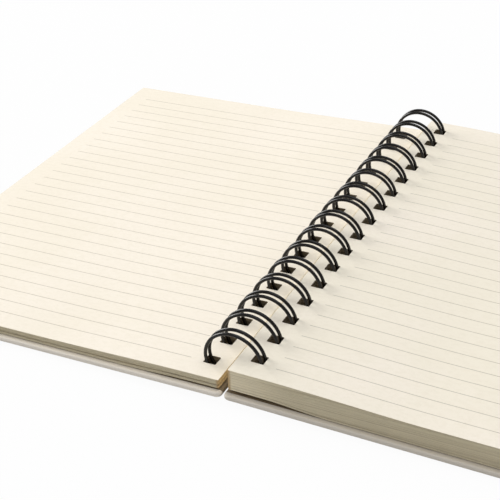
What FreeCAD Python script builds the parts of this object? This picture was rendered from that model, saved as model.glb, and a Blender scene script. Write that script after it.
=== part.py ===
"""Open twin-loop wire-bound notebook with hard covers.

The notebook lies open. X runs across it, Y along the spine, Z up. The front
cover and its leaves are on -X, the back cover and its leaves on +X. Each half
is modelled level, with the wire's axis as its origin, then turned about that
axis until its outer edge comes down to the table, level with the wire's
lowest point. The origin ends on the table, in the middle of the spine.
"""
import FreeCAD, Part
import math
import os

# Wire, in millimetres
least_end_margin = 5.0
hole_pitch = 12.7
loop_radius = 10.75
wire_dia = 1.25
pair_spacing = 3.0
base_bend = 1.0
tip_gap = 0.3

# Leaves
page_height = 210.0
fore_edge = 152.8
leaf_inner_edge = 1.9
leaf_corner = 0.8
front_leaves_spine = 3.4
front_leaves_outer = 3.2
back_leaves_spine = 8.0
back_leaves_outer = 8.0

# Punched holes
leaf_hole_across = 4.9
leaf_hole_along = 4.6
cover_hole_along = 5.0
hole_corner = 0.4

# Covers
board = 2.0
overhang_ends = 2.0
overhang_fore = 1.6
cover_spine_gap = 1.2
cover_corner = 2.0
cover_round = 0.85

# Clearances
wire_in_hole = 0.25
wire_in_gap = 0.18
wire_below_cover = 0.975
leaf_rest = 0.3
front_lift = 0.5

# Where the leaves leave the wire's hump, and where their lower and upper faces have come down
hump_end = 14.0
lower_settle_end = 38.0
upper_settle_end = 75.0

# What follows from the sizes above, measured from the wire's axis
row_length = page_height - 2 * least_end_margin
loop_count = 1 + int(row_length / hole_pitch)
wire_inside = loop_radius - wire_dia / 2
wire_outside = loop_radius + wire_dia / 2
cover_drop = wire_inside - wire_below_cover
board_top = board - cover_drop
wire_gap = wire_dia + 2 * wire_in_gap
cover_outer = fore_edge + overhang_fore
cover_length = page_height + 2 * overhang_ends
leaf_hole_out = wire_outside + wire_in_hole
leaf_hole_in = leaf_hole_out - leaf_hole_across
cover_hole_in = math.sqrt(wire_inside**2 - cover_drop**2) - wire_in_hole
cover_hole_out = math.sqrt(wire_outside**2 - board_top**2) + wire_in_hole

# Turn that brings the rounded outer edge of a cover down to the wire's lowest point
edge_reach = math.hypot(cover_outer - cover_round, cover_drop - cover_round)
edge_angle = math.atan2(cover_drop - cover_round, cover_outer - cover_round)
half_tilt = math.degrees(math.asin((wire_outside - cover_round) / edge_reach) - edge_angle)

AXIS_Y = FreeCAD.Vector(0, 1, 0)
AXIS_Z = FreeCAD.Vector(0, 0, 1)
CENTRE = FreeCAD.Vector(0, 0, 0)


def point(x, z, y=0.0):
    return FreeCAD.Vector(x, y, z)


def loop_places():
    """Y of the middle of each loop, from the near end."""
    first = -hole_pitch * (loop_count - 1) / 2
    return [first + hole_pitch * i for i in range(loop_count)]


def rounded_plate(x_in, x_out, length, low, high, corner):
    """Level plate with its four upright corners rounded."""
    plate = Part.makeBox(x_out - x_in, length, high - low, point(x_in, low, -length / 2))
    upright = [e for e in plate.Edges if e.BoundBox.ZLength > (high - low) / 2]
    return plate.makeFillet(corner, upright)


def punches(x_in, x_out, along, low, high):
    """One rounded rectangular punch for each loop."""
    tools = []
    for y in loop_places():
        tool = rounded_plate(x_in, x_out, along, low, high, hole_corner)
        tool.translate(FreeCAD.Vector(0, y, 0))
        tools.append(tool)
    return Part.makeCompound(tools)


def settling_edge(x_from, z_from, x_to, z_to):
    """S-shaped edge that is level at both ends: z follows 3 t^2 - 2 t^3 while x grows evenly."""
    third = (x_to - x_from) / 3
    curve = Part.BezierCurve()
    curve.setPoles([point(x_from, z_from), point(x_from + third, z_from),
                    point(x_to - third, z_to), point(x_to, z_to)])
    return curve.toShape()


def leaves(spine_lift, spine_thick, outer_thick):
    """Stack of leaves on the +X side: raised over the wire, then lying on its cover."""
    low_spine = board_top + spine_lift
    low_outer = board_top + leaf_rest
    high_spine = low_spine + spine_thick
    high_outer = low_outer + outer_thick
    outline = Part.Wire([
        Part.makeLine(point(leaf_inner_edge, low_spine), point(hump_end, low_spine)),
        settling_edge(hump_end, low_spine, lower_settle_end, low_outer),
        Part.makeLine(point(lower_settle_end, low_outer), point(fore_edge, low_outer)),
        Part.makeLine(point(fore_edge, low_outer), point(fore_edge, high_outer)),
        Part.makeLine(point(fore_edge, high_outer), point(upper_settle_end, high_outer)),
        settling_edge(upper_settle_end, high_outer, hump_end, high_spine),
        Part.makeLine(point(hump_end, high_spine), point(leaf_inner_edge, high_spine)),
        Part.makeLine(point(leaf_inner_edge, high_spine), point(leaf_inner_edge, low_spine)),
    ])
    stack = Part.Face(outline).extrude(FreeCAD.Vector(0, page_height, 0))
    stack.translate(FreeCAD.Vector(0, -page_height / 2, 0))
    upright = [e for e in stack.Edges
               if e.BoundBox.ZLength > outer_thick / 2 and e.BoundBox.XMax > upper_settle_end]
    stack = stack.makeFillet(leaf_corner, upright)
    return stack.cut(punches(leaf_hole_in, leaf_hole_out, leaf_hole_along, -cover_drop, cover_drop))


def cover():
    """Hard cover on the +X side, with rounded edges and punched holes."""
    plate = rounded_plate(cover_spine_gap / 2, cover_outer, cover_length,
                          -cover_drop, board_top, cover_corner)
    rims = [e for e in plate.Edges if e.BoundBox.ZLength < board / 2]
    plate = plate.makeFillet(cover_round, rims)
    return plate.cut(punches(cover_hole_in, cover_hole_out, cover_hole_along,
                             -2 * cover_drop, 0))


def around(angle, y, ahead=0.0):
    """Point on the loop at an angle below +X, or that far ahead along its tangent."""
    a = math.radians(angle)
    x = loop_radius * math.cos(a) - ahead * math.sin(a)
    z = -loop_radius * math.sin(a) - ahead * math.cos(a)
    return point(x, z, y)


def loop_arc(start, end, y):
    middle = around((start + end) / 2, y)
    return Part.Arc(around(start, y), middle, around(end, y)).toShape()


def base_run_edges(start, y_from, y_to):
    """Half of a base run at one end of a loop, with the bend that leads into the loop."""
    way = 1 if y_to > y_from else -1
    slack = base_bend * (1 - math.sin(math.radians(45)))
    level = around(start, y_from + way * base_bend, -base_bend)
    bend = Part.Arc(around(start, y_from), around(start, y_from + way * slack, slack - base_bend), level)
    run = Part.makeLine(level, around(start, y_to, -base_bend))
    return [bend.toShape(), run]


def binding_wire():
    """One wire: base runs in the gap under the back leaves, joined by hairpin loops.

    Angles are measured below +X and grow through the cover's holes, under the
    spine, up through the front leaves and over the top, down to the hairpin's tip.
    The wire is drawn loop by loop, and the lengths meet face to face halfway along
    the base runs.
    """
    half_pair = pair_spacing / 2
    bend_angle = math.degrees(math.atan2(base_bend, loop_radius))
    tip_angle = math.degrees(math.atan2(half_pair, loop_radius))
    base_radius = math.hypot(loop_radius, base_bend)
    base_depth = -board_top - wire_gap / 2
    base_angle = math.degrees(math.asin(base_depth / base_radius))
    start = base_angle + bend_angle
    tip_step = math.degrees((wire_dia + tip_gap) / loop_radius)
    end = 360 + base_angle - tip_step - tip_angle
    places = loop_places()
    lengths = []
    for y in places:
        near = y - half_pair
        far = y + half_pair
        tip = Part.Arc(around(end, near), around(end, y, half_pair), around(end, far)).toShape()
        path = [loop_arc(start, end, near), tip, loop_arc(end, start, far)]
        if y > places[0]:
            path = base_run_edges(start, near, y - hole_pitch / 2)[::-1] + path
            centre = around(start, y - hole_pitch / 2, -base_bend)
            along = AXIS_Y
        else:
            centre = around(start, near)
            along = around(start, near, 1.0) - centre
        if y < places[-1]:
            path += base_run_edges(start, far, y + hole_pitch / 2)
        section = Part.Wire(Part.makeCircle(wire_dia / 2, centre, along))
        lengths.append(Part.Wire(path).makePipeShell([section], True, False))
    return Part.makeCompound(lengths)


def place(shape, tilt):
    """Turn a half about the wire's axis and raise it so that the wire touches the table."""
    shape.rotate(CENTRE, AXIS_Y, tilt)
    shape.translate(AXIS_Z * wire_outside)
    return shape


def on_front(shape):
    """The same piece on the -X side."""
    return place(shape.mirror(CENTRE, FreeCAD.Vector(1, 0, 0)), -half_tilt)


def on_back(shape):
    return place(shape, half_tilt)


pieces = {
    "front_cover": on_front(cover()),
    "front_leaves": on_front(leaves(leaf_rest + front_lift, front_leaves_spine, front_leaves_outer)),
    "wire_binding": on_back(binding_wire()),
    "back_leaves": on_back(leaves(wire_gap, back_leaves_spine, back_leaves_outer)),
    "back_cover": on_back(cover()),
}

os.makedirs("parts", exist_ok=True)
for name, shape in pieces.items():
    solid = shape.Solids[0] if len(shape.Solids) == 1 else shape
    box = solid.BoundBox
    print(name, len(shape.Solids), solid.isValid(), round(solid.Volume, 1),
          [round(v, 3) for v in (box.XMin, box.YMin, box.ZMin, box.XMax, box.YMax, box.ZMax)])
    solid.exportStep("parts/" + name + ".step")
print("half tilt in degrees", round(half_tilt, 4))
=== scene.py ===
"""Open wire-bound notebook: wrapped boards, ruled cream leaves and a black twin-loop wire.

Each half of the notebook is worked out level, in millimetres from the wire's
axis, on the +X side. The same turn about that axis as the solids have then lays
it on the table, and the front half is the mirror image.
"""

import math

import bpy
import numpy as np
from mathutils import Matrix, Vector


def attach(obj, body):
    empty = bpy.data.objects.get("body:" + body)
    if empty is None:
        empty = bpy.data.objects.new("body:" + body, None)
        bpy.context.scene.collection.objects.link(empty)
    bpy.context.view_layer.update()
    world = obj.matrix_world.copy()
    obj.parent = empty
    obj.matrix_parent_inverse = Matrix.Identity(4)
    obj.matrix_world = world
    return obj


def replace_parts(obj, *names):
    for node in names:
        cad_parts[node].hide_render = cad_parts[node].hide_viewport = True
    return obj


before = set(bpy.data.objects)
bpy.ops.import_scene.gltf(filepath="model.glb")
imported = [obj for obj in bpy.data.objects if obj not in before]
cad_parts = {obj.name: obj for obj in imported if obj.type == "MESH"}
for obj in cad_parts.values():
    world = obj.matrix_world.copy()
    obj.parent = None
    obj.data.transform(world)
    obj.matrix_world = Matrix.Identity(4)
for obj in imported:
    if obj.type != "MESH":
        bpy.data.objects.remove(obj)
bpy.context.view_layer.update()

MM = 0.001

# Wire, in millimetres
LOOPS = 16
PITCH = 12.7
LOOP_RADIUS = 10.75
WIRE = 1.25
PAIR = 3.0
BASE_BEND = 1.0
TIP_GAP = 0.3
WIRE_SIDES = 16
ARC_STEPS = 72
BEND_STEPS = 6
WIRE_OUTSIDE = LOOP_RADIUS + WIRE / 2
WIRE_INSIDE = LOOP_RADIUS - WIRE / 2

# Clearances
WIRE_IN_HOLE = 0.25
WIRE_IN_GAP = 0.18
WIRE_BELOW_COVER = 0.975
LEAF_REST = 0.3
FRONT_LIFT = 0.5
WIRE_GAP = WIRE + 2 * WIRE_IN_GAP

# Leaves
PAGE_HALF = 105.0
FORE_EDGE = 152.8
LEAF_INNER = 1.9
LEAF_CORNER = 0.8
FRONT_SPINE = 3.4
FRONT_OUTER = 3.2
BACK_SPINE = 8.0
BACK_OUTER = 8.0
HUMP_END = 14.0
LOWER_SETTLE_END = 38.0
UPPER_SETTLE_END = 75.0
LEAF_HOLE_ACROSS = 4.9
LEAF_HOLE_ALONG = 4.6
HOLE_CORNER = 0.4

# Cut edges: one leaf, the slit below it, how far edges stray, and how far in a parting lies
LEAF = 0.1
LEAF_GROOVE = 0.05
LEAF_STRAY = 0.07
WALK_STEP = 0.35
WALK_SHARE = 0.6
PARTING = 0.9
FRONT_PARTINGS = ((0.62, 3),)
BACK_PARTINGS = ((0.9, 1),)
HOLE_SHEAVES = 12
HOLE_STRAY = 1.5

# Covers
BOARD = 2.0
OVERHANG_FORE = 1.6
OVERHANG_ENDS = 2.0
COVER_INNER = 0.6
COVER_CORNER = 2.0
COVER_ROUND = 0.85
COVER_HOLE_ALONG = 5.0
# The dark endpaper starts this far in from the rims, as painted shade in the gap under the leaves
ENDPAPER_MARGIN = 2.3
RIM_STEPS = 6
COVER_DROP = WIRE_INSIDE - WIRE_BELOW_COVER
BOARD_TOP = BOARD - COVER_DROP
COVER_OUTER = FORE_EDGE + OVERHANG_FORE
COVER_HALF = PAGE_HALF + OVERHANG_ENDS

# Ruling
RULE_PITCH = 7.0
RULE_COUNT = 28
RULE_FIRST_FRONT = 8.4
RULE_FIRST_BACK = 7.2
RULE_START = 16.5
RULE_END = 144.0
RULE_WIDTH = 0.32
RULE_SOFT = 0.15

# Share of a hole's corner radius where its arc has turned by 22.5 degrees
ROUND_STEP = 0.617
SHARP_DEGREES = 35

# Turn of each half about the wire's axis; its rounded outer edge touches the table
REACH = math.hypot(COVER_OUTER - COVER_ROUND, COVER_DROP - COVER_ROUND)
TILT = (math.asin((WIRE_OUTSIDE - COVER_ROUND) / REACH)
        - math.atan2(COVER_DROP - COVER_ROUND, COVER_OUTER - COVER_ROUND))

BACK = 1
FRONT = -1


def linear(r, g, b):
    """Linear colour of an sRGB colour given as 0..255."""
    out = []
    for v in (r, g, b):
        v /= 255
        out.append(v / 12.92 if v <= 0.04045 else ((v + 0.055) / 1.055) ** 2.4)
    return (*out, 1.0)


# Colours of the finishes, in pairs where a finish runs between two tones
FRONT_PAPER = linear(242, 233, 218), linear(239, 230, 213)
BACK_PAPER = linear(243, 234, 219), linear(239, 231, 213)
PAPER_FIBRE = linear(232, 224, 205)
PAPER_TOOTH = linear(228, 219, 199)
RULE_INK = linear(150, 143, 128)
# Cut edges: partly painted shade between the leaves and painted glow through the paper
CUT_EDGE = linear(228, 218, 190), linear(218, 207, 178)
# Painted light on the back stack's edge near the spine
CUT_EDGE_LIT = linear(255, 245, 218)
CUT_EDGE_STREAK = linear(184, 171, 142)
CUT_EDGE_FINE = linear(232, 221, 198)
# Painted shade on the fore edge, greyer and darker where the key light falls
FORE_EDGE_PAINTED_SHADE = linear(212, 207, 197)
# Gutter: painted shade near the viewer, painted light further off
GUTTER_PAINTED_LIGHT_AND_SHADE = linear(205, 176, 128), linear(252, 246, 232)
# Painted shade inside the leaves' holes
PUNCHED_EDGE_PAINTED_SHADE = linear(178, 161, 132), linear(128, 113, 90)
FRONT_WRAP = linear(239, 230, 216), linear(236, 227, 212)
# The back cover's wrap is a darker copy of the front's: painted shade
BACK_WRAP_PAINTED_SHADE = linear(219, 210, 196), linear(216, 207, 192)
WRAP_GRAIN = linear(222, 211, 194)
# Dark endpaper: painted shade in the gap under the leaves
ENDPAPER_PAINTED_SHADE = linear(142, 124, 98)
BOARD_CORE = linear(150, 142, 132), linear(112, 105, 96)
COATING = linear(17, 14, 11), linear(26, 22, 18)


def laid(points, side):
    """Points of a level half, turned about the wire's axis, mirrored to its side, in metres.

    x' = x cos t + z sin t,  z' = z cos t - x sin t + the axis height.
    """
    x, y, z = points[:, 0], points[:, 1], points[:, 2]
    turned_x = x * math.cos(TILT) + z * math.sin(TILT)
    turned_z = z * math.cos(TILT) - x * math.sin(TILT) + WIRE_OUTSIDE
    return np.column_stack([turned_x * side, y, turned_z]) * MM


def loop_places():
    """Y of the middle of each loop, from the near end."""
    return PITCH * (np.arange(LOOPS) - (LOOPS - 1) / 2)


def settle(x, end, at_spine, at_outer):
    """Height that eases from its value over the wire to its value on the cover.

    It follows t^2 (3 - 2 t), with t = 0 where the hump ends and t = 1 at the given end.
    """
    t = np.clip((x - HUMP_END) / (end - HUMP_END), 0, 1)
    return at_spine + (at_outer - at_spine) * t * t * (3 - 2 * t)


def stretch(*stops):
    """Grid lines: from each stop to the next in that many steps, as (place, steps) pairs."""
    lines = [np.array([stops[0][0]])]
    for (start, _), (end, steps) in zip(stops, stops[1:]):
        lines.append(np.linspace(start, end, steps + 1)[1:])
    return np.concatenate(lines)


def hole_stops(low, high):
    """Stops across a hole with rounded corners, for stretch."""
    near = ROUND_STEP * HOLE_CORNER
    return [(low + near, 1), (low + HOLE_CORNER, 1), (high - HOLE_CORNER, 2), (high - near, 1), (high, 1)]


class Slab:
    """A plate with rounded corners and one row of punched holes.

    The top and bottom are one grid of x lines and y lines, with the cells of the
    holes left out. Corners of the plate are rounded by the square-to-disc map
    u sqrt(1 - v^2 / 2), and corners of the holes by moving their border points
    inwards by r - sqrt(r^2 - (r - d)^2). Walls are strips from the top border to
    the bottom border, whose rows a function of the border points gives.
    """

    def __init__(self, xs, ys, holes, half, corner, inner_corner):
        self.shape = (len(xs), len(ys))
        x, y = np.meshgrid(xs, ys, indexing="ij")
        self.cell_open = np.ones((len(xs) - 1, len(ys) - 1), bool)
        self.borders = [self.border(0, len(xs) - 1, 0, len(ys) - 1)]
        moved_x, moved_y = x.copy(), y.copy()
        for x0, x1, y0, y1 in holes:
            i0, i1 = np.searchsorted(xs, (x0 - 1e-6, x1 - 1e-6))
            j0, j1 = np.searchsorted(ys, (y0 - 1e-6, y1 - 1e-6))
            self.cell_open[i0:i1, j0:j1] = False
            rim = self.border(i0, i1, j0, j1)
            self.borders.append(rim[::-1])
            self.round_hole(moved_x, moved_y, rim, (x0, x1, y0, y1))
        ends = [(xs[-1] - corner, 1, corner)]
        if inner_corner:
            ends.append((xs[0] + corner, -1, corner))
        for start, way, r in ends:
            u = (x - start) * way / r
            v = (np.abs(y) - (half - r)) / r
            both = (u > 0) & (v > 0)
            moved_x[both] = (start + way * r * u * np.sqrt(np.maximum(1 - v * v / 2, 0)))[both]
            moved_y[both] = (np.sign(y) * (half - r + r * v * np.sqrt(np.maximum(1 - u * u / 2, 0))))[both]
        self.x, self.y = moved_x.ravel(), moved_y.ravel()

    def border(self, i0, i1, j0, j1):
        """Grid indices round a rectangle of cells, anticlockwise from above."""
        n = self.shape[1]
        i = np.arange(i0, i1 + 1)
        j = np.arange(j0, j1 + 1)
        return np.concatenate([i[:-1] * n + j0, i1 * n + j[:-1], i[:0:-1] * n + j1, i0 * n + j[:0:-1]])

    @staticmethod
    def round_hole(mx, my, rim, hole):
        """Move a hole's border points inwards, so that they follow its corners' arcs."""
        x0, x1, y0, y1 = hole
        r = HOLE_CORNER
        fx, fy = mx.reshape(-1), my.reshape(-1)
        x, y = fx[rim], fy[rim]
        a = np.minimum(x - x0, x1 - x)
        b = np.minimum(y - y0, y1 - y)
        to_x = np.where(x < (x0 + x1) / 2, 1, -1)
        to_y = np.where(y < (y0 + y1) / 2, 1, -1)
        sunk_a = r - np.sqrt(np.maximum(r * r - (r - np.minimum(b, r)) ** 2, 0))
        sunk_b = r - np.sqrt(np.maximum(r * r - (r - np.minimum(a, r)) ** 2, 0))
        corner = (a < 1e-6) & (b < 1e-6)
        diagonal = r * (1 - math.sqrt(0.5))
        fx[rim] += to_x * np.where(corner, diagonal, np.where(a < 1e-6, sunk_a, 0))
        fy[rim] += to_y * np.where(corner, diagonal, np.where(b < 1e-6, sunk_b, 0))

    def outward(self, rim):
        """Unit normals of a border that point away from the plate's stock."""
        x, y = self.x[rim], self.y[rim]
        dx = np.roll(x, -1) - np.roll(x, 1)
        dy = np.roll(y, -1) - np.roll(y, 1)
        size = np.hypot(dx, dy)
        return dy / size, -dx / size

    def mesh(self, name, side, top, bottom, outer_rows, hole_rows):
        """Mesh of the plate: material 0 on its faces, 1 on its outer walls, 2 in its holes."""
        nx, ny = self.shape
        count = nx * ny
        i, j = np.nonzero(self.cell_open)
        a = i * ny + j
        faces = [np.column_stack([a, a + ny, a + ny + 1, a + 1]),
                 np.column_stack([a, a + 1, a + ny + 1, a + ny]) + count]
        kinds = [np.zeros(len(a), int), np.zeros(len(a), int)]
        z_top, z_bottom = top(self.x, self.y), bottom(self.x, self.y)
        points = [np.column_stack([self.x, self.y, z_top]), np.column_stack([self.x, self.y, z_bottom])]
        total = 2 * count
        for number, rim in enumerate(self.borders):
            rows = (hole_rows if number else outer_rows)(
                self.x[rim], self.y[rim], *self.outward(rim), z_top[rim], z_bottom[rim])
            n = len(rim)
            strip = [rim]
            for row in rows:
                points.append(np.column_stack(row))
                strip.append(total + np.arange(n))
                total += n
            strip.append(rim + count)
            for upper, lower in zip(strip, strip[1:]):
                faces.append(np.column_stack([upper, lower, np.roll(lower, -1), np.roll(upper, -1)]))
                kinds.append(np.full(n, 2 if number else 1))
        points = laid(np.concatenate(points), side)
        faces = np.concatenate(faces)
        used = np.unique(faces)
        order = np.zeros(len(points), int)
        order[used] = np.arange(len(used))
        faces = order[faces]
        if side == FRONT:
            faces = faces[:, ::-1]
        return new_piece(name, points[used], faces, np.concatenate(kinds))


def new_piece(name, points, faces, kinds):
    """Object at the origin from points in metres and quads, smooth below the sharp angle."""
    data = bpy.data.meshes.new(name)
    data.from_pydata(points.tolist(), [], faces.tolist())
    data.polygons.foreach_set("material_index", kinds.astype(np.int32))
    data.update()
    data.shade_smooth()
    data.set_sharp_from_angle(angle=math.radians(SHARP_DEGREES))
    piece = bpy.data.objects.new(name, data)
    bpy.context.scene.collection.objects.link(piece)
    return piece


def straight_rows(x, y, normal_x, normal_y, z_top, z_bottom):
    """No rows between the rims: a plain straight wall."""
    return []


def leaf_holes():
    """Each loop's hole in the leaves, as x0, x1, y0, y1: its outer side just clears the wire."""
    out = WIRE_OUTSIDE + WIRE_IN_HOLE
    return [(out - LEAF_HOLE_ACROSS, out, y - LEAF_HOLE_ALONG / 2, y + LEAF_HOLE_ALONG / 2)
            for y in loop_places()]


def cover_holes():
    """Each loop's hole in a cover: it clears the ring between the board's two faces.

    The ring of radius R meets the level z at x = sqrt(R^2 - z^2).
    """
    x0 = math.sqrt(WIRE_INSIDE**2 - COVER_DROP**2) - WIRE_IN_HOLE
    x1 = math.sqrt(WIRE_OUTSIDE**2 - BOARD_TOP**2) + WIRE_IN_HOLE
    return [(x0, x1, y - COVER_HOLE_ALONG / 2, y + COVER_HOLE_ALONG / 2) for y in loop_places()]


def grid_lines(holes, x_in, x_out, half, corner, inner_steps):
    """X and y lines of a half that carry its holes, its hump and its corners."""
    x0, x1 = holes[0][:2]
    xs = stretch((x_in, 0), *([(x_in + corner, 3)] if inner_steps else []), (x0, 3),
                 *hole_stops(x0, x1), (HUMP_END, 2), (LOWER_SETTLE_END, 12),
                 (UPPER_SETTLE_END, 12), (x_out - corner, 8), (x_out, 4))
    stops = [(-half, 0), (corner - half, 4)]
    for _, _, y0, y1 in holes:
        stops.append((y0, 2))
        stops += hole_stops(y0, y1)
    stops += [(half - corner, 2), (half, 4)]
    return xs, stretch(*stops)


def leaf_stack(name, side, lift, at_spine, at_outer, partings, seed):
    """One stack of leaves.

    Each leaf is a step of the walls: its edge stands out, and the slit to the next
    one is a groove. A slow random walk and a small stray move each leaf's edge by up
    to LEAF_STRAY, and its holes' edges by HOLE_STRAY times as much, within the solid's
    outline. Where the stack parts, a few leaves lie further in and leave a dark line:
    partings gives each one's place, as a share of the thickness from the top, and its
    count of leaves.
    """
    rng = np.random.default_rng(seed)
    holes = leaf_holes()
    xs, ys = grid_lines(holes, LEAF_INNER, FORE_EDGE, PAGE_HALF, LEAF_CORNER, False)
    slab = Slab(xs, ys, holes, PAGE_HALF, LEAF_CORNER, False)
    leaf_count = round(at_outer / LEAF)
    walk = np.cumsum(rng.normal(0, WALK_STEP, (leaf_count, 2)), axis=0)
    walk -= walk.mean(axis=0)
    walk *= WALK_SHARE / np.abs(walk).max(axis=0)
    stray = (walk + rng.uniform(WALK_SHARE - 1, 1 - WALK_SHARE, (leaf_count, 2))) * LEAF_STRAY

    def top(x, y):
        return settle(x, UPPER_SETTLE_END, BOARD_TOP + lift + at_spine, BOARD_TOP + LEAF_REST + at_outer)

    def bottom(x, y):
        return settle(x, LOWER_SETTLE_END, BOARD_TOP + lift, BOARD_TOP + LEAF_REST)

    def outer_rows(x, y, normal_x, normal_y, z_top, z_bottom):
        rows = []
        for k in range(leaf_count):
            sunk = any(0 <= k - round(place * leaf_count) < leaves for place, leaves in partings)
            reach = stray[k, 0] - LEAF_STRAY - (PARTING if sunk else 0)
            for part, depth in ((0.5, 0), (1.0, LEAF_GROOVE)):
                t = (k + part) / leaf_count
                if t < 1:
                    move = reach - depth
                    rows.append((x + normal_x * move, y + normal_y * move, z_top + (z_bottom - z_top) * t))
        return rows

    def hole_rows(x, y, normal_x, normal_y, z_top, z_bottom):
        """Holes step back from the wire only, so that no leaf touches it."""
        rows = []
        for k in range(1, HOLE_SHEAVES):
            move = -abs(stray[k * leaf_count // HOLE_SHEAVES, 1]) * HOLE_STRAY
            t = k / HOLE_SHEAVES
            rows.append((x + normal_x * move, y + normal_y * move, z_top + (z_bottom - z_top) * t))
        return rows

    return slab.mesh(name, side, top, bottom, outer_rows, hole_rows)


def wrapped_board(name, side):
    """Hard cover: a board with its wrap drawn round the edges.

    The edge is a quarter ellipse above and below: inset e (1 - sin a), drop e (1 - cos a).
    """
    holes = cover_holes()
    inset = COVER_ROUND
    x_in, x_out, half = COVER_INNER + inset, COVER_OUTER - inset, COVER_HALF - inset
    corner = COVER_CORNER - inset
    xs, ys = grid_lines(holes, x_in, x_out, half, corner, True)
    slab = Slab(xs, ys, holes, half, corner, True)

    def rim_rows(x, y, normal_x, normal_y, z_top, z_bottom):
        rows = []
        down, up = range(1, RIM_STEPS + 1), range(RIM_STEPS, 0, -1)
        for way, z_face, steps in ((-1, z_top, down), (1, z_bottom, up)):
            for k in steps:
                a = math.pi / 2 * k / RIM_STEPS
                out = inset * math.sin(a)
                rows.append((x + normal_x * out, y + normal_y * out,
                             z_face + way * inset * (1 - math.cos(a))))
        return rows

    return slab.mesh(name, side, lambda x, y: np.full_like(x, BOARD_TOP),
                     lambda x, y: np.full_like(x, -COVER_DROP), rim_rows, straight_rows)


def binding_wire(name):
    """Tube along one path of base runs and hairpins, on a cylinder about the wire's axis.

    Loop arcs are (R cos a, y, -R sin a); a bend or tip is a circle in the cylinder's
    tangent plane. The ring frame is the path's tangent, the radius and their product.
    """
    bend_angle = math.atan2(BASE_BEND, LOOP_RADIUS)
    tip_angle = math.atan2(PAIR / 2, LOOP_RADIUS)
    base_angle = math.asin((-BOARD_TOP - WIRE_GAP / 2) / math.hypot(LOOP_RADIUS, BASE_BEND))
    start = base_angle + bend_angle
    end = 2 * math.pi + base_angle - (WIRE + TIP_GAP) / LOOP_RADIUS - tip_angle

    def around(angle, y, ahead=0.0):
        """Points on the loop's circle, or ahead of it along the tangent at that angle."""
        angle, y, ahead = np.broadcast_arrays(angle, y, ahead)
        x = LOOP_RADIUS * np.cos(angle) - ahead * np.sin(angle)
        z = -LOOP_RADIUS * np.sin(angle) - ahead * np.cos(angle)
        radial = np.column_stack([np.cos(angle), np.zeros_like(x), -np.sin(angle)])
        return np.column_stack([x, y, z]), radial

    quarter = np.linspace(0, math.pi / 2, BEND_STEPS + 1)[1:]
    turn = np.linspace(0, math.pi, 2 * BEND_STEPS + 1)[1:]
    climb = np.linspace(start, end, ARC_STEPS + 1)
    stages = []
    places = loop_places()
    for number, y in enumerate(places):
        near, far = y - PAIR / 2, y + PAIR / 2
        stages.append(around(climb if number == 0 else climb[1:], near))
        stages.append(around(end, y - PAIR / 2 * np.cos(turn), PAIR / 2 * np.sin(turn)))
        stages.append(around(climb[-2::-1], far))
        if number + 1 < LOOPS:
            beyond = places[number + 1] - PAIR / 2
            stages.append(around(start, far + BASE_BEND * (1 - np.cos(quarter)),
                                 -BASE_BEND * np.sin(quarter)))
            stages.append(around(start, beyond - BASE_BEND * np.cos(quarter[::-1]),
                                 -BASE_BEND * np.sin(quarter[::-1])))
            stages.append(around(start, beyond, 0.0))
    path = np.concatenate([s[0] for s in stages])
    radial = np.concatenate([s[1] for s in stages])
    keep = np.r_[True, np.linalg.norm(np.diff(path, axis=0), axis=1) > 1e-4]
    path, radial = path[keep], radial[keep]
    along = np.gradient(path, axis=0)
    along /= np.linalg.norm(along, axis=1)[:, None]
    beside = np.cross(along, radial)
    beside /= np.linalg.norm(beside, axis=1)[:, None]
    outward = np.cross(beside, along)
    a = np.linspace(0, 2 * math.pi, WIRE_SIDES, endpoint=False)[None, :, None]
    rings = path[:, None] + WIRE / 2 * (np.cos(a) * outward[:, None] + np.sin(a) * beside[:, None])
    points = np.concatenate([rings.reshape(-1, 3), path[:1], path[-1:]])
    rows, n = len(path), WIRE_SIDES
    k = np.arange((rows - 1) * n)
    here, there = k, k - k % n + (k + 1) % n
    sides = np.column_stack([here, there, there + n, here + n])
    ring = np.arange(n)
    first, last = rows * n, rows * n + 1
    caps = [(first, (m + 1) % n, m) for m in ring]
    caps += [(last, (rows - 1) * n + m, (rows - 1) * n + (m + 1) % n) for m in ring]
    data = bpy.data.meshes.new(name)
    data.from_pydata(laid(points, BACK).tolist(), [], sides.tolist() + caps)
    data.update()
    data.shade_smooth()
    piece = bpy.data.objects.new(name, data)
    bpy.context.scene.collection.objects.link(piece)
    return piece


class Value:
    """A socket whose arithmetic adds Math nodes."""

    def __init__(self, paint, socket):
        self.paint, self.socket = paint, socket

    def math(self, operation, *others):
        """A Math node on this value and others."""
        return self.paint.node("ShaderNodeMath", {"operation": operation},
                               dict(enumerate((self, *others))))

    def __add__(self, other):
        return self.math("ADD", other)

    def __sub__(self, other):
        return self.math("SUBTRACT", other)

    def __rsub__(self, other):
        return self.paint.node("ShaderNodeMath", {"operation": "SUBTRACT"}, {0: other, 1: self})

    def __mul__(self, other):
        return self.math("MULTIPLY", other)

    def __truediv__(self, other):
        return self.math("DIVIDE", other)

    __radd__ = __add__
    __rmul__ = __mul__


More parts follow.
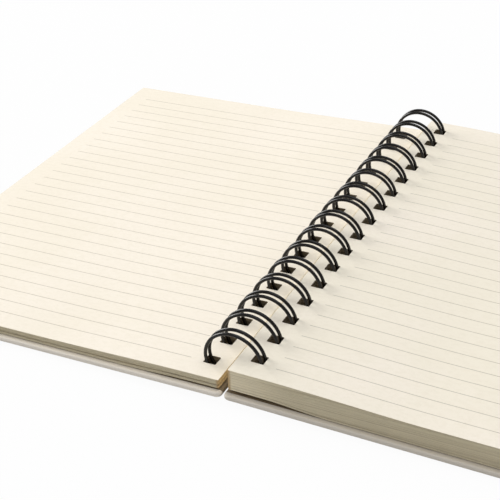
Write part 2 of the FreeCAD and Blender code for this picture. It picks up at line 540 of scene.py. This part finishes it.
class Paint:
    """A material and the one call that adds its nodes."""

    def __init__(self, name):
        self.material = bpy.data.materials.new(name)
        self.material.use_nodes = True
        self.tree = self.material.node_tree
        self.shader = self.tree.nodes["Principled BSDF"]

    def node(self, kind, settings=None, inputs=None, output=0):
        """New node with its settings, then its sockets' values or links; returns one output."""
        made = self.tree.nodes.new(kind)
        for key, value in (settings or {}).items():
            setattr(made, key, value)
        for key, value in (inputs or {}).items():
            self.feed(made.inputs[key], value)
        return Value(self, made.outputs[output])

    def feed(self, socket, value):
        """Link a value to a socket, or set the socket to a plain one."""
        if isinstance(value, Value):
            self.tree.links.new(value.socket, socket)
        else:
            socket.default_value = value

    def set(self, **inputs):
        """Sockets of the Principled shader, with underscores for their spaces."""
        for key, value in inputs.items():
            self.feed(self.shader.inputs[key.replace("_", " ")], value)

    def place(self, scale=(1, 1, 1)):
        """Object coordinates, scaled."""
        where = self.node("ShaderNodeTexCoord", output="Object")
        return self.node("ShaderNodeMapping", inputs={"Vector": where, "Scale": scale})

    def parts(self, vector):
        """X, y and z of a vector."""
        split = self.node("ShaderNodeSeparateXYZ", inputs={"Vector": vector})
        outs = split.socket.node.outputs
        return [Value(self, outs[k]) for k in range(3)]

    def noise(self, scale, detail=4.0, roughness=0.55, stretch_by=(1, 1, 1)):
        """Noise with that many spots to a metre, fewer along an axis that stretch_by lowers."""
        return self.node("ShaderNodeTexNoise", inputs={
            "Vector": self.place(stretch_by), "Scale": scale, "Detail": detail, "Roughness": roughness})

    def between(self, value, low, high, to_low=0.0, to_high=1.0):
        """Smooth step from to_low at low to to_high at high."""
        return self.node("ShaderNodeMapRange", {"interpolation_type": "SMOOTHSTEP"}, {
            "Value": value, "From Min": low, "From Max": high, "To Min": to_low, "To Max": to_high})

    def mix(self, factor, first, second):
        """Colour between the first and the second."""
        return self.node("ShaderNodeMix", {"data_type": "RGBA"}, {0: factor, 6: first, 7: second}, output=2)

    def bump(self, height, distance, strength):
        """Relief of a height map, as deep as the distance in metres."""
        self.set(Normal=self.node("ShaderNodeBump", inputs={
            "Height": height, "Distance": distance, "Strength": strength}))


def page_material(name, first_line, tones):
    """Uncoated cream paper with fine grey ruling from the hole margin to the fore edge.

    Lines are counted along the page; a point is inked where it lies within half a
    line's width of the nearest whole number.
    """
    paint = Paint(name)
    x, y, _ = paint.parts(paint.place())
    across = x.math("ABSOLUTE")
    line = (y + (PAGE_HALF - first_line) * MM) / (RULE_PITCH * MM)
    nearest = paint.node("ShaderNodeMath", {"operation": "ROUND"}, {0: line})
    away = (line - nearest).math("ABSOLUTE") * (RULE_PITCH * MM)
    half_line = RULE_WIDTH / 2 * MM
    ruled = paint.between(away, 0.6 * half_line, 1.4 * half_line, 1.0, 0.0)
    inside = (paint.between(across, (RULE_START - RULE_SOFT) * MM, (RULE_START + RULE_SOFT) * MM)
              * paint.between(across, (RULE_END - RULE_SOFT) * MM, (RULE_END + RULE_SOFT) * MM, 1.0, 0.0)
              * paint.between(line, -0.5, -0.45)
              * paint.between(line, RULE_COUNT - 0.55, RULE_COUNT - 0.5, 1.0, 0.0))
    cloud = paint.noise(18.0, 3.0)
    fibre = paint.noise(2600.0, 3.0, 0.6, (1, 0.35, 1))
    tooth = paint.noise(750.0, 2.0, 0.6, (0.6, 1, 1))
    paper = paint.mix(paint.between(cloud, 0.35, 0.65), *tones)
    paper = paint.mix(paint.between(fibre, 0.3, 0.7) * 0.25, paper, PAPER_FIBRE)
    paper = paint.mix(paint.between(tooth, 0.4, 0.72) * 0.3, paper, PAPER_TOOTH)
    ink = paint.between(fibre, 0.2, 0.8, 0.5, 0.72)
    paint.set(Base_Color=paint.mix(ruled * inside * ink, paper, RULE_INK),
              Roughness=paint.between(fibre, 0.2, 0.8, 0.78, 0.9), Specular_IOR_Level=0.3)
    paint.bump(fibre + tooth, 0.03 * MM, 0.5)
    return paint.material


def leaf_edge_material():
    """Cut edges of the leaves: darker and warmer than the page, partly as painted shade between the leaves
    and painted glow through the paper, with long fine streaks.

    The back stack's edge has painted light close to the spine. The front stack's inner edge,
    which shows in the gutter, is tan near the viewer as painted shade and paler further off as painted light.
    """
    paint = Paint("leaf_edges")
    x, y, _ = paint.parts(paint.place())
    across = x.math("ABSOLUTE")
    streak = paint.noise(1100.0, 4.0, 0.65, (0.008, 0.008, 3.0))
    sheaf = paint.noise(420.0, 2.0, 0.5, (0.012, 0.012, 2.4))
    fine = paint.noise(3000.0, 2.0)
    # painted light: the back stack's edge is painted lighter near the spine
    lit = paint.between(x, 0.0, 2.0 * MM) * paint.between(x, 4.0 * MM, 28.0 * MM, 0.85, 0.0)
    tone = paint.mix(paint.between(sheaf, 0.3, 0.7), *CUT_EDGE)
    tone = paint.mix(lit, tone, CUT_EDGE_LIT)
    tone = paint.mix(paint.between(streak, 0.46, 0.62) * 0.55, tone, CUT_EDGE_STREAK)
    tone = paint.mix(paint.between(fine, 0.4, 0.7) * 0.25, tone, CUT_EDGE_FINE)

    # painted shade and light: the front stack's inner edge is painted tan near the viewer and pale further
    # off
    gutter = paint.mix(paint.between(y, (5.0 - PAGE_HALF) * MM, (30.0 - PAGE_HALF) * MM), *GUTTER_PAINTED_LIGHT_AND_SHADE)
    front = paint.between(x, -1.0 * MM, 1.0 * MM, 1.0, 0.0)
    near = paint.between(y, (0.3 - PAGE_HALF) * MM, (0.8 - PAGE_HALF) * MM, 1.0, 0.0)
    inner = paint.between(across, (LEAF_INNER + 0.3) * MM, (LEAF_INNER + 1.3) * MM, 0.85, 0.0)
    tone = paint.mix(inner * (front + near).math("MINIMUM", 1.0), tone, gutter)
    # painted shade: the fore edge is painted greyer and darker
    fore = paint.between(across, (FORE_EDGE - 1.5) * MM, (FORE_EDGE - 0.5) * MM, 0.0, 0.8)
    tone = paint.mix(fore, tone, FORE_EDGE_PAINTED_SHADE)
    paint.set(Base_Color=tone, Roughness=0.9, Specular_IOR_Level=0.2)
    paint.bump(streak, 0.05 * MM, 0.6)
    return paint.material


def hole_edge_material():
    """Punched edges inside the leaves' holes, painted dark as shade in the holes."""
    paint = Paint("punched_edges_painted_shade")
    streak = paint.noise(900.0, 3.0, 0.6, (0.1, 0.1, 3.0))
    # painted shade: the hole walls are painted dark
    tone = paint.mix(paint.between(streak, 0.35, 0.65), *PUNCHED_EDGE_PAINTED_SHADE)
    paint.set(Base_Color=tone, Roughness=0.92, Specular_IOR_Level=0.2)
    paint.bump(streak, 0.04 * MM, 0.6)
    return paint.material


def cover_material(name, tones):
    """Pale satin paper wrap, faintly grained, turned in round the rims, with a dark endpaper inside whose
    tone is painted shade for the gap under the leaves.

    The endpaper ends a margin from each rim. It lies on the upper face only: with the
    half's tilt taken off, that face is 4.2 mm up and the lower one 2.2 mm.
    """
    paint = Paint(name)
    grain = paint.noise(1500.0, 4.0, 0.65)
    cloud = paint.noise(25.0, 3.0)
    tone = paint.mix(paint.between(cloud, 0.3, 0.7), *tones)
    tone = paint.mix(paint.between(grain, 0.35, 0.7) * 0.3, tone, WRAP_GRAIN)
    x, y, z = paint.parts(paint.place())
    across, along = x.math("ABSOLUTE"), y.math("ABSOLUTE")
    fore, end = (COVER_OUTER - ENDPAPER_MARGIN) * MM, (COVER_HALF - ENDPAPER_MARGIN) * MM
    # painted shade: a dark endpaper where the gap under the leaves shows
    endpaper_shade = (paint.between(across, fore, fore + 0.1 * MM, 1.0, 0.0)
              * paint.between(along, end, end + 0.1 * MM, 1.0, 0.0)
              * paint.between(z + across * math.tan(TILT), 3.0 * MM, 3.4 * MM))
    tone = paint.mix(endpaper_shade, tone, ENDPAPER_PAINTED_SHADE)
    paint.set(Base_Color=tone, Roughness=paint.between(grain, 0.3, 0.7, 0.38, 0.5), Specular_IOR_Level=0.5)
    paint.bump(grain, 0.03 * MM, 0.35)
    return paint.material


def board_core_material():
    """Grey board that the punched holes lay bare."""
    paint = Paint("board_core")
    layers = paint.noise(700.0, 3.0, 0.6, (0.1, 0.1, 4.0))
    paint.set(Base_Color=paint.mix(layers, *BOARD_CORE), Roughness=0.92)
    paint.bump(layers, 0.05 * MM, 0.6)
    return paint.material


def wire_material():
    """Black nylon-coated steel, satin with a faint orange peel."""
    paint = Paint("wire_coating")
    peel = paint.noise(1800.0, 2.0, 0.5)
    rub = paint.noise(140.0, 3.0)
    tone = paint.mix(paint.between(rub, 0.45, 0.7), *COATING)
    paint.set(Base_Color=tone, Roughness=paint.between(rub, 0.3, 0.7, 0.16, 0.26), Specular_IOR_Level=0.34)
    paint.bump(peel, 0.03 * MM, 0.3)
    return paint.material


def dress(piece, body, slot, *materials):
    """Material slots and body of a piece; slot is not used."""
    for material in materials:
        piece.data.materials.append(material)
    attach(piece, body)
    return piece


def build_notebook():
    """The five pieces, each in place of its solid."""
    front_page = page_material("front_ruled_paper", RULE_FIRST_FRONT, FRONT_PAPER)
    back_page = page_material("back_ruled_paper", RULE_FIRST_BACK, BACK_PAPER)
    edge, hole = leaf_edge_material(), hole_edge_material()
    front_wrap = cover_material("front_wrap", FRONT_WRAP)
    # painted shade: the back cover gets a darker copy of the wrap
    shaded_back_wrap = cover_material("shaded_back_wrap", BACK_WRAP_PAINTED_SHADE)
    core = board_core_material()
    wire = wire_material()

    front_leaves = leaf_stack("front_leaf_stack", FRONT, LEAF_REST + FRONT_LIFT,
                              FRONT_SPINE, FRONT_OUTER, FRONT_PARTINGS, 4)
    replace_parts(dress(front_leaves, "front_leaves", "paper_leaves", front_page, edge, hole), "front_leaves")
    back_leaves = leaf_stack("back_leaf_stack", BACK, WIRE_GAP,
                             BACK_SPINE, BACK_OUTER, BACK_PARTINGS, 9)
    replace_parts(dress(back_leaves, "back_leaves", "paper_leaves", back_page, edge, hole), "back_leaves")

    front_cover = wrapped_board("front_wrapped_board", FRONT)
    dress(front_cover, "front_cover", "cover_board", front_wrap, front_wrap, core)
    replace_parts(front_cover, "front_cover")
    back_cover = wrapped_board("back_wrapped_board", BACK)
    dress(back_cover, "back", "cover_board", shaded_back_wrap, shaded_back_wrap, core)
    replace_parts(back_cover, "back_cover")

    twin_loop = binding_wire("twin_loop_wire")
    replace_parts(dress(twin_loop, "back", "coated_wire", wire), "wire_binding")


def make_camera():
    """Camera at the photograph's viewing angle, from a fit to measured points."""
    azimuth, elevation, roll = (math.radians(v) for v in (26.0, 33.18, -1.67))
    place = Vector((157.42, -389.82, 254.09)) * MM
    ahead = Vector((-math.sin(azimuth) * math.cos(elevation), math.cos(azimuth) * math.cos(elevation),
                    -math.sin(elevation)))
    right = Vector((math.cos(azimuth), math.sin(azimuth), 0))
    up = right.cross(ahead)
    right, up = (math.cos(roll) * right + math.sin(roll) * up,
                 math.cos(roll) * up - math.sin(roll) * right)
    lens = bpy.data.cameras.new("camera")
    lens.sensor_width = 36
    lens.lens = 87.15
    lens.shift_x, lens.shift_y = -0.04, 0.095
    lens.clip_start, lens.clip_end = 0.01, 20
    camera = bpy.data.objects.new("camera", lens)
    turn = Matrix((right, up, -ahead)).transposed().to_4x4()
    camera.matrix_world = Matrix.Translation(place) @ turn
    bpy.context.scene.collection.objects.link(camera)
    bpy.context.scene.camera = camera


def area_light(name, place, size, watts, colour):
    """Round soft lamp that looks at the origin."""
    lamp = bpy.data.lights.new(name, "AREA")
    lamp.shape = "DISK"
    lamp.size = size
    lamp.energy = watts
    lamp.color = colour
    holder = bpy.data.objects.new(name, lamp)
    place = Vector(place)
    turn = (-place).to_track_quat("-Z", "Y").to_matrix().to_4x4()
    holder.matrix_world = Matrix.Translation(place) @ turn
    bpy.context.scene.collection.objects.link(holder)


def make_floor():
    """Pale floor just under the notebook, near white to the camera, with a soft shadow."""
    half = 12.0
    data = bpy.data.meshes.new("floor")
    low = -0.05 * MM
    data.from_pydata([(-half, -half, low), (half, -half, low), (half, half, low), (-half, half, low)],
                     [], [(0, 1, 2, 3)])
    floor = bpy.data.objects.new("floor", data)
    bpy.context.scene.collection.objects.link(floor)
    paint = Paint("pale_floor")
    paint.set(Base_Color=(0.72, 0.72, 0.72, 1), Roughness=0.9, Specular_IOR_Level=0.0)
    seen = paint.node("ShaderNodeLightPath", output="Is Camera Ray")
    glow = paint.node("ShaderNodeEmission", inputs={"Color": (1, 1, 1, 1), "Strength": 1.0})
    mixed = paint.node("ShaderNodeMixShader", inputs={
        0: seen * 0.96, 1: Value(paint, paint.shader.outputs[0]), 2: glow})
    paint.feed(paint.tree.nodes["Material Output"].inputs["Surface"], mixed)
    data.materials.append(paint.material)


def light_studio():
    """Low soft key from the left, a weak fill overhead and a dim room that the camera sees as white."""
    area_light("key", (-2.5, 0.56, 1.0), 1.8, 80.5, (1.0, 0.985, 0.96))
    area_light("fill", (0.1, 0.1, 1.4), 1.4, 8.6, (0.98, 0.99, 1.0))
    world = bpy.data.worlds.new("studio")
    bpy.context.scene.world = world
    world.use_nodes = True
    tree = world.node_tree
    background = tree.nodes["Background"]
    path = tree.nodes.new("ShaderNodeLightPath")
    white = tree.nodes.new("ShaderNodeBackground")
    white.inputs["Strength"].default_value = 1.0
    white.inputs["Color"].default_value = (1, 1, 1, 1)
    background.inputs["Color"].default_value = (0.93, 0.95, 1.0, 1)
    background.inputs["Strength"].default_value = 0.42
    mixed = tree.nodes.new("ShaderNodeMixShader")
    tree.links.new(path.outputs["Is Camera Ray"], mixed.inputs[0])
    tree.links.new(background.outputs[0], mixed.inputs[1])
    tree.links.new(white.outputs[0], mixed.inputs[2])
    tree.links.new(mixed.outputs[0], tree.nodes["World Output"].inputs["Surface"])


make_camera()
build_notebook()
make_floor()
light_studio()
bpy.context.scene.view_settings.view_transform = "Standard"
